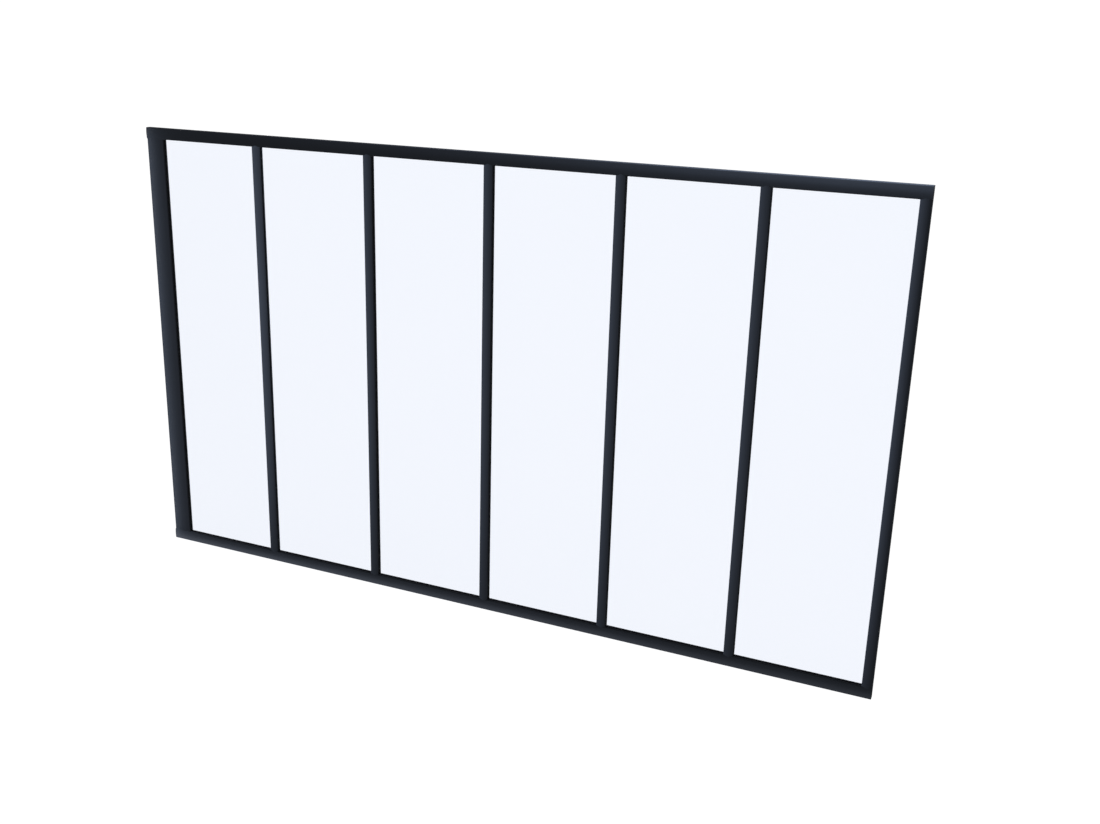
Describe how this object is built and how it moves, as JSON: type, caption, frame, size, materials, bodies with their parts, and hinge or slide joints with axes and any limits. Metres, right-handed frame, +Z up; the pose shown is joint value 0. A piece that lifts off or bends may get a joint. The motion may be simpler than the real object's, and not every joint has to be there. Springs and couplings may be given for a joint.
{
  "type": "corner glass partition",
  "caption": "Straight glazed partition in dark powder-coated metal: a row of tall clear lights between slim mullions, with a wide corner post at one end.",
  "frame": {"origin": "on the floor, in the middle of the screen's length and of the frame's depth", "axes": "+X along the screen from the corner post to the end post, +Y from the front to the back, +Z up"},
  "size_m": [4.1, 0.034, 2.4],
  "materials": {
    "frame_coat": "satin anthracite powder coat",
    "bead_coat": "satin anthracite powder coat",
    "cap_plastic": "moulded, matt",
    "clear_glass": "clear float glass, polished",
    "black_rubber": "extruded, matt"
  },
  "bodies": {
    "root": {"bead_bottom_1": "bead_coat", "bead_bottom_2": "bead_coat", "bead_bottom_3": "bead_coat", "bead_bottom_4": "bead_coat", "bead_bottom_5": "bead_coat", "bead_bottom_6": "bead_coat", "bead_left_1": "bead_coat", "bead_left_2": "bead_coat", "bead_left_3": "bead_coat", "bead_left_4": "bead_coat", "bead_left_5": "bead_coat", "bead_left_6": "bead_coat", "bead_right_1": "bead_coat", "bead_right_2": "bead_coat", "bead_right_3": "bead_coat", "bead_right_4": "bead_coat", "bead_right_5": "bead_coat", "bead_right_6": "bead_coat", "bead_top_1": "bead_coat", "bead_top_2": "bead_coat", "bead_top_3": "bead_coat", "bead_top_4": "bead_coat", "bead_top_5": "bead_coat", "bead_top_6": "bead_coat", "bottom_rail": "frame_coat", "bottom_rail_cap_left": "cap_plastic", "bottom_rail_cap_right": "cap_plastic", "corner_post": "frame_coat", "end_post": "frame_coat", "glass_pane_1": "clear_glass", "glass_pane_2": "clear_glass", "glass_pane_3": "clear_glass", "glass_pane_4": "clear_glass", "glass_pane_5": "clear_glass", "glass_pane_6": "clear_glass", "glazing_rubber_1": "black_rubber", "glazing_rubber_2": "black_rubber", "glazing_rubber_3": "black_rubber", "glazing_rubber_4": "black_rubber", "glazing_rubber_5": "black_rubber", "glazing_rubber_6": "black_rubber", "mullion_1": "frame_coat", "mullion_2": "frame_coat", "mullion_3": "frame_coat", "mullion_4": "frame_coat", "mullion_5": "frame_coat", "top_rail": "frame_coat", "top_rail_cap_left": "cap_plastic", "top_rail_cap_right": "cap_plastic"}
  },
  "joints": []
}
